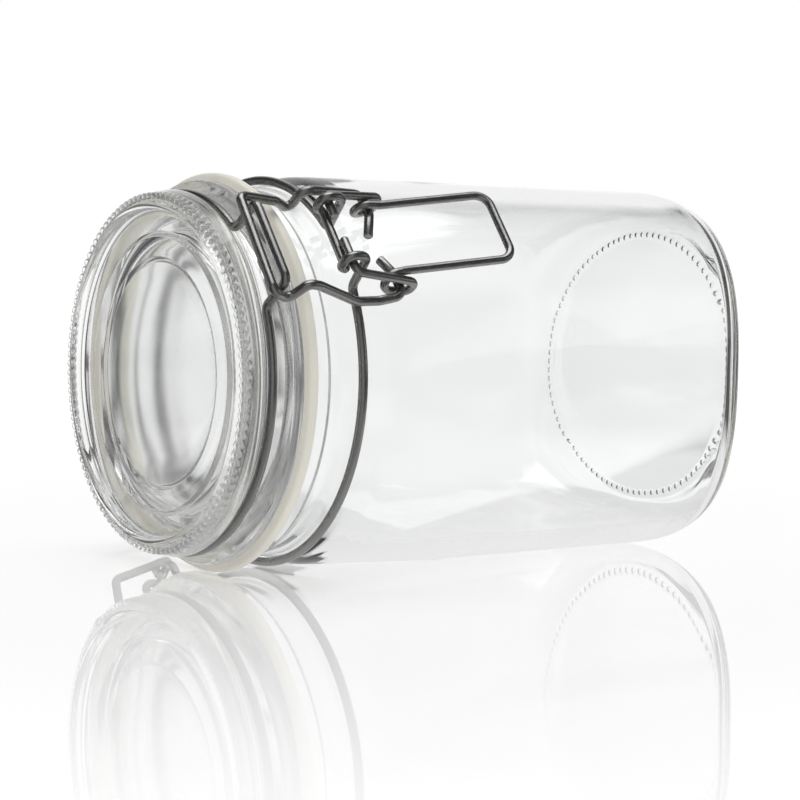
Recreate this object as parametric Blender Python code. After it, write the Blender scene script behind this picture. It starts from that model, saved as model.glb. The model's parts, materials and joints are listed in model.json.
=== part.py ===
"""Clip top jar of glass, lying on its side as it rests on a table.

Seven pieces: the glass body, the glass lid, the rubber gasket between them, and four bent wires.
The neck wire sits in the body's neck, the lid wire in the lid's groove, and the lever and its link
form the clasp that pulls the lid wire down.

Jar frame: u runs along the jar's axis from the gasket plane (0) towards the base, and the lid is at
negative u. The clasp frame adds h, the height above the axis towards the clasp, and s, the distance
across it. The hinge is opposite the clasp, at negative h. All sizes below are in millimetres.
"""

import math

import bpy
import numpy as np
from mathutils import Matrix, Vector

MM = 0.001

# Where the clasp sits round the axis, up from the horizontal
CLASP_ANGLE = math.radians(39.0)

# Glass body
BODY_HALF = 48.0            # half width across the flats at the shoulder
BASE_HALF = 46.8            # the same just above the base: the mould's draft
SIDE_START = 25.0           # where the shoulder ends and the straight side begins
BASE_U = 134.5              # plane that the jar stands on when upright
BASE_ROUND = 8.0            # rounding between side and base
BEARING_INNER = 35.4        # flat ring that the upright jar stands on
PUNT_FLAT = 28.0            # radius of the flat middle of the base's hollow inside that ring
PUNT_DEPTH = 1.9
SIDE_POWER = 3.0            # exponent of the superellipse section: 2 is a circle
POWER_START, POWER_END = 15.0, 60.0
WALL = 4.0
FLOOR_U = 128.3             # inner face of the base
FLOOR_FLAT = 24.0           # radius of its flat middle
INNER_ROUND = 9.0
RIM_U = 0.7                 # sealing face
RIM_RADIUS = 46.0
MOUTH_RADIUS = 40.8
NECK_RADIUS = 44.7
WIRE_SEAT_RADIUS = 45.2

# Glass lid
LID_TOP = -17.6
BEAD_RADIUS = 43.4          # outer and inner radius of the beaded rim
BEAD_INNER = 39.5
RECESS_RADIUS = 37.5
DISC_TOP = -14.4
DISC_BOTTOM = -9.6
GROOVE_RADIUS = 41.7        # groove that holds the lid wire
FLANGE_RADIUS = 46.4
FLANGE_FACE = -2.4          # face that presses on the gasket
PLUG_RADIUS = 39.3          # ring that centres the gasket and enters the mouth
PLUG_INNER = 36.2
PLUG_END = 2.5

# Gasket
GASKET_INNER = 39.7
GASKET_RADIUS = 48.5
GASKET_U = (-2.1, 0.4)

# Wires: diameters and the two rings
LID_WIRE, NECK_WIRE, LINK_WIRE, LEVER_WIRE = 2.2, 2.2, 2.3, 2.1
LID_RING_U, LID_RING_RADIUS = -9.05, 43.1
NECK_RING_U, NECK_RING_RADIUS = 13.1, 46.7

# Joint axes in the clasp frame (u, h); all three run along s
LID_HINGE = (13.0, -61.5)
LEVER_HINGE = (8.8, 55.0)
LINK_HINGE = (22.2, 50.9)

# Widths across the clasp, as half distances between wire centres
EYE_S = 8.6                 # neck wire's eyes
HINGE_EYE_S = 4.0
HINGE_BAR_S = 8.0
SEAT_BAR_S = 11.2           # front bar of the lid wire, which the link holds
LINK_BAR_S = 13.8
LINK_HOOK_S = 14.9
LEVER_COIL_S = 12.6
HANDLE_S = 9.6
EYE_LOOP = 2.65             # centre radius of the loops round a 2 mm wire

# Facets
BODY_SEGMENTS = 48
LID_SEGMENTS = 48
RING_STEP = math.radians(7.5)
BEND_STEP = math.radians(26)
RING_CLEAR = 3.5            # length of ring left to a bend at each of its ends
SHARP_ANGLE = math.radians(35)


def clear_scene():
    for obj in list(bpy.data.objects):
        bpy.data.objects.remove(obj)


def material(name, colour, roughness, metallic=0.0, transmission=0.0):
    made = bpy.data.materials.new(name)
    made.use_nodes = True
    shader = made.node_tree.nodes["Principled BSDF"]
    shader.inputs["Base Color"].default_value = (*colour, 1.0)
    shader.inputs["Roughness"].default_value = roughness
    shader.inputs["Metallic"].default_value = metallic
    shader.inputs["Transmission Weight"].default_value = transmission
    return made


def smoothstep(value):
    value = min(max(value, 0.0), 1.0)
    return value * value * (3.0 - 2.0 * value)


def arc(centre, radius, start, end, count):
    """Points (u, r) of a round edge, from angle start to end in degrees, 0 along +u and 90 along +r."""
    angles = np.radians(np.linspace(start, end, count))
    return [(centre[0] + radius * math.cos(a), centre[1] + radius * math.sin(a)) for a in angles]


def side_power(u):
    """Exponent of the body's section: round at the neck and squarer down the side."""
    return 2.0 + (SIDE_POWER - 2.0) * smoothstep((u - POWER_START) / (POWER_END - POWER_START))


def half_width(u):
    """Half width across the flats of the body's straight side."""
    part = (u - SIDE_START) / (BASE_U - BASE_ROUND - SIDE_START)
    return BODY_HALF + (BASE_HALF - BODY_HALF) * part


def section(u, half, power, segments):
    """One ring of points: a superellipse of the given half width in the plane at u."""
    angles = np.arange(segments) * 2.0 * math.pi / segments
    cosine, sine = np.cos(angles), np.sin(angles)
    radius = half / (np.abs(cosine) ** power + np.abs(sine) ** power) ** (1.0 / power)
    return np.column_stack([np.full(segments, u), radius * cosine, radius * sine])


def lofted(name, rings, closed):
    """Mesh through rings of points; closed joins last to first, otherwise both ends get a pole."""
    count = len(rings[0])
    points = np.concatenate(rings)
    here = np.arange(count)
    after = (here + 1) % count
    faces = []
    pairs = [(k, k + 1) for k in range(len(rings) - 1)]
    if closed:
        pairs.append((len(rings) - 1, 0))
    for low, high in pairs:
        start, end = low * count, high * count
        quads = np.column_stack([start + here, end + here, end + after, start + after])
        faces.extend(quads.tolist())
    if not closed:
        poles = np.array([rings[0].mean(axis=0), rings[-1].mean(axis=0)])
        points = np.concatenate([points, poles])
        first, last = len(points) - 2, len(points) - 1
        top = (len(rings) - 1) * count
        faces.extend(np.column_stack([np.full(count, first), here, after]).tolist())
        faces.extend(np.column_stack([np.full(count, last), top + after, top + here]).tolist())
    mesh = bpy.data.meshes.new(name)
    mesh.from_pydata((points * MM).tolist(), [], faces)
    mesh.validate()
    mesh.shade_smooth()
    mesh.set_sharp_from_angle(angle=SHARP_ANGLE)
    return mesh


def body_mesh():
    """From the middle of the base out, along the side to the rim, and back down the inside."""
    edge = BASE_U - BASE_ROUND
    corner = arc((edge, BASE_HALF - BASE_ROUND), BASE_ROUND, 0, 90, 7)
    profile = [
        (BASE_U - PUNT_DEPTH, PUNT_FLAT, 2.0),
        (BASE_U, BEARING_INNER, 2.0),
    ]
    for k, (u, half) in enumerate(corner):
        profile.append((u, half, 2.0 + (SIDE_POWER - 2.0) * smoothstep(k / 3.0)))
    for u in (100.0, 70.0, 56.0, 46.0, 38.0, 31.0, SIDE_START):
        profile.append((u, half_width(u), side_power(u)))
    shoulder = [(21.5, 47.75), (18.6, 47.1), (16.4, 46.2), (14.8, WIRE_SEAT_RADIUS)]
    neck = [(10.6, WIRE_SEAT_RADIUS), (8.8, NECK_RADIUS), (5.6, NECK_RADIUS)]
    rim = [(3.4, RIM_RADIUS), (1.3, RIM_RADIUS), (RIM_U, RIM_RADIUS - 0.7)]
    mouth = [(RIM_U, MOUTH_RADIUS + 0.7), (1.4, MOUTH_RADIUS), (10.5, MOUTH_RADIUS), (15.0, 41.4), (18.5, 42.9)]
    for u, half in shoulder + neck + rim + mouth:
        profile.append((u, half, side_power(u)))
    for u in (23.0, 31.0, 40.0, 52.0, 66.0, 95.0):
        profile.append((u, half_width(u) - WALL, side_power(u)))
    inner_edge = FLOOR_U - INNER_ROUND
    inner_half = half_width(inner_edge) - WALL
    for u, half in reversed(arc((inner_edge, inner_half - INNER_ROUND), INNER_ROUND, 12, 90, 5)):
        profile.append((u, half, SIDE_POWER))
    profile.append((FLOOR_U, FLOOR_FLAT, 2.4))
    return lofted("glass_body", [section(u, half, power, BODY_SEGMENTS) for u, half, power in profile], False)


def lid_mesh():
    """From the middle of the underside out over plug, flange, groove and beaded rim to the top."""
    profile = [
        (DISC_BOTTOM, 30.0),
        (DISC_BOTTOM + 0.8, 34.3),
        (PLUG_END - 0.8, PLUG_INNER),
        (PLUG_END, PLUG_INNER + 0.7),
        (PLUG_END, PLUG_RADIUS - 0.8),
        (PLUG_END - 0.8, PLUG_RADIUS),
        (FLANGE_FACE, PLUG_RADIUS),
        (FLANGE_FACE, FLANGE_RADIUS - 0.5),
        (FLANGE_FACE - 0.5, FLANGE_RADIUS),
        (FLANGE_FACE - 1.8, FLANGE_RADIUS),
        (FLANGE_FACE - 2.4, FLANGE_RADIUS - 0.5),
        (-7.1, 42.5),
        (-7.6, GROOVE_RADIUS),
        (-10.4, GROOVE_RADIUS),
        (-11.0, 42.4),
        (-13.8, 43.0),
    ]
    bead = (BEAD_RADIUS - BEAD_INNER) / 2.0
    profile += [(u, r) for u, r in arc((LID_TOP + bead, BEAD_RADIUS - bead), bead, 90, 270, 7)]
    profile += [(-14.2, RECESS_RADIUS), (-14.3, 34.0), (-15.4, 32.1), (-15.4, 29.0), (-14.8, 26.4), (DISC_TOP, 24.0)]
    return lofted("glass_lid", [section(u, r, 2.0, LID_SEGMENTS) for u, r in profile], False)


def gasket_mesh():
    low, high = GASKET_U
    profile = [
        (low, GASKET_INNER), (high, GASKET_INNER),
        (high, GASKET_RADIUS - 0.4), (high - 0.4, GASKET_RADIUS),
        (low + 0.4, GASKET_RADIUS), (low, GASKET_RADIUS - 0.4),
    ]
    return lofted("gasket", [section(u, r, 2.0, LID_SEGMENTS) for u, r in profile], True)


def clasp_point(u, h, s):
    """Jar frame position of a point given along the axis, towards the clasp and across it."""
    out = Vector((0.0, -math.cos(CLASP_ANGLE), math.sin(CLASP_ANGLE)))
    across = Vector((0.0, math.sin(CLASP_ANGLE), math.cos(CLASP_ANGLE)))
    return Vector((u, 0.0, 0.0)) + h * out + s * across


def ring_points(u, radius, front_s, rear_s):
    """Half a wire ring, from s = front_s beside the clasp round to s = rear_s beside the hinge.

    Its two ends are corners of the bent wire, so the round stretch starts clear of them.
    """
    start, end = math.asin(front_s / radius), math.pi - math.asin(rear_s / radius)
    clear = RING_CLEAR / radius
    turns = np.linspace(start + clear, end - clear, round((end - start) / RING_STEP))
    return [((u, radius * math.cos(a), radius * math.sin(a)), 0.0) for a in turns]


def mirrored(half):
    """The corners of one half, from s > 0, followed by their mirror images in reverse order."""
    return half + [((u, h, -s), bend) for (u, h, s), bend in reversed(half)]


def bent_path(corners, closed):
    """Wire centre line through the corners, each rounded by its own bend radius."""
    places = [Vector(point) for point, _ in corners]
    path = []
    for k, (_, bend) in enumerate(corners):
        at = places[k]
        if bend == 0.0 or (not closed and k in (0, len(places) - 1)):
            path.append(at)
            continue
        back = places[k - 1] - at
        ahead = places[(k + 1) % len(places)] - at
        turn = math.pi - back.angle(ahead)
        reach = bend * math.tan(turn / 2.0)
        longest = 0.49 * min(back.length, ahead.length)
        if reach > longest:
            reach = longest
            bend = reach / math.tan(turn / 2.0)
        inward = (back.normalized() + ahead.normalized()).normalized()
        centre = at + inward * (bend / math.cos(turn / 2.0))
        first = at + back.normalized() * reach - centre
        axis = first.cross(at + ahead.normalized() * reach - centre)
        steps = max(2, math.ceil(turn / BEND_STEP))
        for step in range(steps + 1):
            path.append(centre + Matrix.Rotation(turn * step / steps, 3, axis) @ first)
    return path


def wire_curve(name, corners, diameter, closed=False):
    """A round bar bent along the corners, as a curve with a bevel."""
    path = [clasp_point(*point) for point in bent_path(corners, closed)]
    curve = bpy.data.curves.new(name, "CURVE")
    curve.dimensions = "3D"
    curve.resolution_u = 1
    curve.bevel_depth = diameter / 2.0 * MM
    curve.bevel_resolution = 2
    curve.use_fill_caps = True
    spline = curve.splines.new("POLY")
    spline.points.add(len(path) - 1)
    for spot, point in zip(spline.points, path):
        spot.co = (*(point * MM), 1.0)
    spline.use_cyclic_u = closed
    spline.use_smooth = True
    return curve


def neck_wire_corners():
    """One wire: a hook round the hinge bar, half the ring, and an eye for the lever, then its mirror image."""
    hinge_u, hinge_h = LID_HINGE
    lever_u, lever_h = LEVER_HINGE
    hook = [
        ((hinge_u - EYE_LOOP, hinge_h + 2.2, HINGE_EYE_S), 0.0),
        ((hinge_u - EYE_LOOP, hinge_h - EYE_LOOP, HINGE_EYE_S), 2.6),
        ((hinge_u + EYE_LOOP, hinge_h - EYE_LOOP, HINGE_EYE_S), 2.6),
        ((hinge_u + EYE_LOOP, hinge_h + 3.0, HINGE_EYE_S), 5.0),
        ((NECK_RING_U, -math.sqrt(NECK_RING_RADIUS**2 - HINGE_EYE_S**2), HINGE_EYE_S), 2.4),
    ]
    half_ring = ring_points(NECK_RING_U, NECK_RING_RADIUS, EYE_S, HINGE_EYE_S)
    eye = [
        ((NECK_RING_U, math.sqrt(NECK_RING_RADIUS**2 - EYE_S**2), EYE_S), 2.4),
        ((lever_u + EYE_LOOP, lever_h + EYE_LOOP, EYE_S), 2.6),
        ((lever_u - EYE_LOOP, lever_h + EYE_LOOP, EYE_S), 2.6),
        ((lever_u - EYE_LOOP, lever_h - 1.6, EYE_S), 1.6),
        ((lever_u - 0.5, lever_h - EYE_LOOP, EYE_S), 1.6),
    ]
    return mirrored(hook + half_ring[::-1] + eye)


def lid_wire_corners():
    """One closed wire: the seat bar for the link, half the ring, and the bracket that turns on the hinge."""
    hinge_u, hinge_h = LID_HINGE
    front = [((-8.3, 51.8, SEAT_BAR_S), 1.9), ((LID_RING_U, 41.7, SEAT_BAR_S), 2.2)]
    rear = [
        ((LID_RING_U, -42.35, HINGE_BAR_S), 2.2),
        ((-5.2, -56.3, HINGE_BAR_S), 3.0),
        ((hinge_u, hinge_h, HINGE_BAR_S), 2.2),
    ]
    half_ring = ring_points(LID_RING_U, LID_RING_RADIUS, SEAT_BAR_S, HINGE_BAR_S)
    return mirrored(front + half_ring + rear)


def link_wire_corners():
    """The link: a bar behind the lid wire's seat, two arms that dip and rise, and a hook at each end."""
    u, h = LINK_HINGE
    hook = [((u - 2.9, h, 2.2), 0.0), ((u, h, 8.8), 3.0), ((u, h, LINK_HOOK_S), 2.2)]
    upper_arm = [
        ((12.0, 52.0, 14.7), 5.0),
        ((5.2, 52.5, 14.6), 2.6),
        ((4.5, 45.3, 14.2), 2.4),
        ((-0.4, 48.8, 14.0), 4.0),
        ((-11.4, 50.9, LINK_BAR_S), 1.9),
    ]
    lower_arm = [
        ((-12.2, 50.9, -LINK_BAR_S), 1.9),
        ((-7.6, 48.1, -13.9), 2.6),
        ((-4.6, 54.0, -13.9), 2.4),
        ((-1.4, 53.4, -14.0), 2.8),
        ((10.5, 48.5, -14.8), 5.0),
        ((16.5, 48.9, -LINK_HOOK_S), 4.0),
    ]
    lower_hook = [((along, high, -across), bend) for (along, high, across), bend in reversed(hook)]
    lower_hook[-1] = ((u - 2.6, h, -4.2), 0.0)
    return hook + upper_arm + lower_arm + lower_hook


def lever_wire_corners():
    """The lever: pins in the neck wire's eyes, a coil for each hook of the link, and the handle."""
    u, h = LEVER_HINGE
    arm = [
        ((u, h, 4.8), 0.0),
        ((u, h, 11.2), 2.0),
        ((25.6, 53.0, LEVER_COIL_S), 2.2),
        ((25.6, 48.7, 12.2), 2.2),
        ((19.2, 47.9, 11.0), 2.4),
        ((19.2, 52.9, 10.2), 2.6),
        ((24.0, 53.6, HANDLE_S), 4.0),
        ((52.0, 58.6, HANDLE_S), 3.6),
    ]
    corners = mirrored(arm)
    corners[-1] = ((u, h, -1.6), 0.0)
    return corners


def empty(name, location, parent):
    made = bpy.data.objects.new(name, None)
    made.empty_display_size = 0.01
    made.parent = parent
    made.location = location
    bpy.context.collection.objects.link(made)
    return made


def place(name, data, skin, parent, origin):
    """Puts a piece, modelled in the jar frame, under the empty whose jar frame place is origin."""
    obj = bpy.data.objects.new(name, data)
    data.materials.append(skin)
    obj.parent = parent
    obj.location = -origin
    bpy.context.collection.objects.link(obj)


def rest_tilt():
    """Angle by which the axis dips towards the base, so that gasket and base edge both touch the table."""
    return math.atan2(GASKET_RADIUS - BASE_HALF, BASE_U - BASE_ROUND - GASKET_U[1])


def stand_on_origin(root):
    """Moves the jar so that the middle of its box's underside is at the origin."""
    bpy.context.view_layer.update()
    graph = bpy.context.evaluated_depsgraph_get()
    spots = []
    for obj in bpy.context.scene.objects:
        if obj.type == "EMPTY":
            continue
        evaluated = obj.evaluated_get(graph)
        mesh = evaluated.to_mesh()
        points = np.empty(len(mesh.vertices) * 3, np.float32)
        mesh.vertices.foreach_get("co", points)
        world = np.array(evaluated.matrix_world)
        spots.append(points.reshape(-1, 3) @ world[:3, :3].T + world[:3, 3])
        evaluated.to_mesh_clear()
    low = np.min([spot.min(axis=0) for spot in spots], axis=0)
    high = np.max([spot.max(axis=0) for spot in spots], axis=0)
    root.location -= Vector(((low[0] + high[0]) / 2.0, (low[1] + high[1]) / 2.0, low[2]))
    bpy.context.view_layer.update()


def main():
    clear_scene()
    glass = material("glass", (0.98, 0.99, 0.985), 0.02, transmission=1.0)
    rubber = material("rubber", (0.72, 0.69, 0.60), 0.55)
    steel = material("steel", (0.42, 0.42, 0.41), 0.28, metallic=1.0)

    root = empty("jar_axis", (0.0, 0.0, 0.0), None)
    root.rotation_euler = (0.0, rest_tilt(), 0.0)
    lid_at = clasp_point(*LID_HINGE, 0.0) * MM
    lever_at = clasp_point(*LEVER_HINGE, 0.0) * MM
    link_at = clasp_point(*LINK_HINGE, 0.0) * MM
    lid_axis = empty("lid_hinge_axis", lid_at, root)
    lever_axis = empty("lever_hinge_axis", lever_at, root)
    link_axis = empty("link_hinge_axis", link_at - lever_at, lever_axis)

    fixed = Vector((0.0, 0.0, 0.0))
    neck_wire = wire_curve("neck_wire", neck_wire_corners(), NECK_WIRE)
    lid_wire = wire_curve("lid_wire", lid_wire_corners(), LID_WIRE, closed=True)
    link_wire = wire_curve("link_wire", link_wire_corners(), LINK_WIRE)
    lever_wire = wire_curve("lever_wire", lever_wire_corners(), LEVER_WIRE)
    place("glass_body", body_mesh(), glass, root, fixed)
    place("neck_wire", neck_wire, steel, root, fixed)
    place("glass_lid", lid_mesh(), glass, lid_axis, lid_at)
    place("gasket", gasket_mesh(), rubber, lid_axis, lid_at)
    place("lid_wire", lid_wire, steel, lid_axis, lid_at)
    place("lever_wire", lever_wire, steel, lever_axis, lever_at)
    place("link_wire", link_wire, steel, link_axis, link_at)
    stand_on_origin(root)


main()
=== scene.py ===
"""Fine surfaces, finishes and studio for a clip top jar of glass that lies on its side.

The jar frame: u runs along the jar's axis from the gasket's plane towards the base, and y and z lie
across it. The clasp frame keeps u and adds h, the height above the axis towards the clasp, and s,
the distance across it. Lengths are in millimetres until a mesh is made of them.
"""

import json
import math

import bpy
import numpy as np
from bpy.props import FloatProperty, FloatVectorProperty, IntProperty, PointerProperty
from bpy.types import Operator, Panel, PropertyGroup
from mathutils import Matrix, Vector


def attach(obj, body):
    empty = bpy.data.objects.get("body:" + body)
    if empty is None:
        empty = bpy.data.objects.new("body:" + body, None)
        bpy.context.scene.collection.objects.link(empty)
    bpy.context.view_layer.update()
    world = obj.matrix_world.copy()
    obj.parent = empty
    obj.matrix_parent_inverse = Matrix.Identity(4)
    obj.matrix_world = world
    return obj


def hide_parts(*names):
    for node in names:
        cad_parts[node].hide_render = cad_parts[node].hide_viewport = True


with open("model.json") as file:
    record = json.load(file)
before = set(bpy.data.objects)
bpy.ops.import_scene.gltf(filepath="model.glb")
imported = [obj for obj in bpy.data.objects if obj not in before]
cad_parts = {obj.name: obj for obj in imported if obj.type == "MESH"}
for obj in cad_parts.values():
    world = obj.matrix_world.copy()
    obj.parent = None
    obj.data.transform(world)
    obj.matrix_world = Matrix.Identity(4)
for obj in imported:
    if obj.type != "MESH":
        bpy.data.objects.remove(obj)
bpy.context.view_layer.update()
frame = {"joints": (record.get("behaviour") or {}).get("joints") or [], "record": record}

bl_info = {
    "name": "Clip Top Jar",
    "version": (1, 0, 0),
    "blender": (4, 5, 0),
    "location": "3D View > Sidebar > Jar",
    "description": "Glass jar with a hinged lid, a rubber gasket and a wire clasp, in a bright studio",
    "category": "Add Mesh",
}

MM = 0.001

# Joint axes in the clasp frame (u, h)
LID_HINGE = (13.0, -61.5)
LEVER_HINGE = (8.8, 55.0)
LINK_HINGE = (22.2, 50.9)

# Directions of the jar frame and of the clasp frame, and the place of u = h = s = 0
JOINTS = {joint["name"]: joint for joint in frame["joints"]}
ALONG = np.array(frame["record"]["mounts"][0]["axis"])
ACROSS = -np.array(JOINTS["lid_hinge"]["axis"])
OUT = np.cross(ALONG, ACROSS)
SIDE = np.array((0.0, 1.0, 0.0))
UP = np.cross(ALONG, SIDE)
CENTRE = np.array(JOINTS["lid_hinge"]["pos_m"]) / MM - LID_HINGE[0] * ALONG - LID_HINGE[1] * OUT

# Glass body
BODY_HALF, BASE_HALF = 47.9, 46.8
SIDE_START, BASE_U = 25.0, 134.5
HEEL_CENTRE = (120.0, 38.2)  # place (u, half width) that the heel's quarter ellipse turns about
HEEL_REACH = (14.0, BASE_HALF - HEEL_CENTRE[1])
HEEL_TURNS = np.linspace(0.17, math.pi / 2.0, 14)
BEARING = (35.4, 38.8)      # inner and outer radius of the ring that the upright jar stands on
KNURL_RADIUS, KNURL_REACH = 36.9, 1.1
KNURL_ROW = 0.28            # distance between the rows of points that cut the knurls
POLE_RADIUS = 0.3           # where a turned profile stops short of the axis, and a fan closes it
PUNT_DEPTH = 1.9
PUNT_ROWS = np.linspace(POLE_RADIUS, 34.8, 11)
SIDE_POWER = 3.0            # exponent of the superellipse section: 2 is a circle
# Where an effect starts and the length over which it grows to its full strength
SQUARE_RISE = (15.0, 45.0)          # along u, the square section
OUTER_FLAT_RISE = (BEARING[1], 5.6)     # by half width, the square section on the base
INNER_FLAT_RISE = (22.0, 16.0)      # by half width, the square section on the inner floor
WAVE_RISE_ALONG, WAVE_RISE_OUT = (18.0, 14.0), (6.0, 20.0)  # along u and by half width, the wavy inner wall
WALL = 4.0
FLOOR_U, INNER_ROUND = 129.6, 5.0
WALL_WAVES = (              # share, turns round, turn for each millimetre of u, and start
    (0.50, 2.0, 0.045, 0.6),
    (0.34, 3.0, -0.070, 2.1),
    (0.26, 5.0, 0.110, 4.0),
    (0.30, 0.0, 0.125, 1.3),
)
SEAL_U, SEAL_ROUND = 0.7, 1.3
MOUTH_RADIUS, RIM_RADIUS, NECK_RADIUS, SEAT_RADIUS = 40.8, 46.0, 44.7, 45.2

# Glass lid
RIM_ROUND = 1.95            # radius of the half round at the lid's rim
RIM_CENTRE = (-15.65, 41.45)
BEAD_ROW = math.radians(137.0)  # where the row of beads sits on that half round, from outwards over the top
BEAD_RADIUS = 1.16
NEAR_RIM, RIM_TURN = 0.4, -0.6  # how near the half round, and from what turn on, a point counts as on it
OFF_BEADS = 9.0             # distance across the rim, in bead radii, that is given to all other points
BEAD_BLEND = 0.5            # distance, in bead radii, over which the sunk band beside the beads ends
UNDERSIDE_REACH = 56.0      # length along the profile from the middle of the underside to its edge

# Gasket
GASKET_RADII = (39.7, 48.5)
GASKET_U = (-2.1, 0.4)

# Wire rings and widths across the clasp
LID_RING_U, LID_RING_RADIUS = -9.05, 43.1
NECK_RING_U, NECK_RING_RADIUS = 13.1, 46.7
EYE_S, HINGE_EYE_S, HINGE_BAR_S, SEAT_BAR_S = 8.6, 4.0, 8.0, 11.2
LINK_BAR_S, LINK_HOOK_S = 13.8, 14.9
LEVER_COIL_S, HANDLE_S = 12.6, 9.6
EYE_LOOP = 2.65
CHAMFER = 0.16              # length of a wire end's chamfer, as a share of the diameter
CHAMFER_STEEPNESS = 0.8     # its depth as a share of its length
SHARP_ANGLE = math.radians(40.0)

# How finely round stretches are drawn
ARC_STEP = math.radians(9.0)
FULL_ROUND = 1.3            # a round stretch of at least this radius gets a point every step
LID_STEP, GASKET_STEP, RING_STEP = math.radians(8.5), math.radians(15.0), math.radians(2.5)
BODY_LEG, LID_LEG, GASKET_LEG = 4.0, 4.2, 1.2   # longest straight stretch between two rows of points
RIB_COLUMNS = 6             # columns of points for each knurl or bead
RING_CLEAR = 3.5            # how far a wire ring's drawn arc stays from its bends
WIRE_SIDES = 20
GASKET_COLUMNS = 360

# Depth of the surface relief, in metres
BODY_RELIEF, LID_RELIEF, RUBBER_RELIEF, STEEL_RELIEF = 0.00014, 0.00010, 0.00012, 0.00003

# Camera: place in metres relative to the floor's point under u = 0 on the axis, and the way it looks
CAMERA_OFFSET = (-0.3039, -0.5246, 0.0910)
CAMERA_HEADING = math.atan2(0.565, 0.825)
CAMERA_PITCH = math.radians(-4.61)
CAMERA_ROLL = math.radians(0.574)
FORWARD = (math.sin(CAMERA_HEADING), math.cos(CAMERA_HEADING), 0.0)
SIDEWAYS = (math.cos(CAMERA_HEADING), -math.sin(CAMERA_HEADING), 0.0)

# Light
FIELD_STRETCH = (1.0, 1.0, 0.51)    # lessens a direction's height, which makes the bright field tall
FIELD_TOP = (0.04, 0.30)    # upward share of a direction between which the field darkens
TOP_SHARE = 0.84            # brightness of the field's upper part, as a share of its lower part
BACK_SHARE = 0.4            # brightness of the wall behind the camera, as a share of the one behind the jar

# Floor, in metres
FLOOR_REACH = 4.0
SHINE_FADE = (0.10, 0.38)   # distance between which the floor's shine fades
FAR_SHINE = 0.1
WEDGE_EDGE = (0.80, 0.92)   # forward share of a heading where the bright wedge starts and is full
FLOOR_PATCHES = (           # middle, and the distances where a bright patch starts to fade and is gone
    ((0.08, 0.02, 0.0), 0.10, 0.24),
    ((-0.27, 0.26, 0.0), 0.08, 0.18),
)


def smoothstep(value):
    """0 below 0, 1 above 1, and three squares less two cubes between."""
    value = np.clip(value, 0.0, 1.0)
    return value * value * (3.0 - 2.0 * value)


def rising(value, start, length):
    """Smooth step from 0 at start to 1 after length."""
    return smoothstep((value - start) / length)


def unit(vectors):
    """Each vector divided by its length."""
    return vectors / np.linalg.norm(vectors, axis=-1, keepdims=True)


def filleted(corners, closed=False, step=ARC_STEP):
    """Line through corners, each rounded by its own radius.

    A corner is a place and a radius. Its round stretch is the arc that touches both legs: the
    centre lies on the bisector at radius / cos(half the turn), and the points between the two
    touching points are spread evenly by angle, more thinly where the radius is small.
    """
    places = np.array([place for place, _ in corners], float)
    line = []
    for k, (_, radius) in enumerate(corners):
        at = places[k]
        if radius == 0.0 or (not closed and k in (0, len(corners) - 1)):
            line.append(at[None])
            continue
        back = places[k - 1] - at
        ahead = places[(k + 1) % len(places)] - at
        longest = 0.49 * min(np.linalg.norm(back), np.linalg.norm(ahead))
        back, ahead = unit(back), unit(ahead)
        turn = math.pi - math.acos(np.clip(back @ ahead, -1.0, 1.0))
        if turn < 1e-3:
            line.append(at[None])
            continue
        reach = min(radius * math.tan(turn / 2.0), longest)
        radius = reach / math.tan(turn / 2.0)
        centre = at + unit(back + ahead) * (radius / math.cos(turn / 2.0))
        first, last = at + back * reach - centre, at + ahead * reach - centre
        legs = math.ceil(turn / step * min(1.0, radius / FULL_ROUND))
        part = np.linspace(0.0, 1.0, max(3, legs + 1))[:, None]
        arc = (first * np.sin((1.0 - part) * turn) + last * np.sin(part * turn)) / math.sin(turn)
        line.append(centre + arc)
    return np.concatenate(line)


def spread(line, longest):
    """The same line with points added so that no leg is longer than longest."""
    legs = np.linalg.norm(np.diff(line, axis=0), axis=1)
    stations = np.concatenate([[0.0], np.cumsum(legs)])
    counts = np.maximum(1, np.ceil(legs / longest)).astype(int)
    starts = np.repeat(stations[:-1], counts)
    within = np.arange(counts.sum()) - np.repeat(np.cumsum(counts) - counts, counts)
    wanted = np.append(starts + within * np.repeat(legs / counts, counts), stations[-1])
    return np.column_stack([np.interp(wanted, stations, line[:, k]) for k in range(line.shape[1])])


def jar_points(u, y, z):
    """World places, in metres, of points of the jar frame."""
    return (CENTRE + u[..., None] * ALONG + y[..., None] * SIDE + z[..., None] * UP) * MM


def clasp_points(points):
    """World places, in millimetres, of points (u, h, s) of the clasp frame."""
    return CENTRE + points @ np.array([ALONG, OUT, ACROSS])


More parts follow.
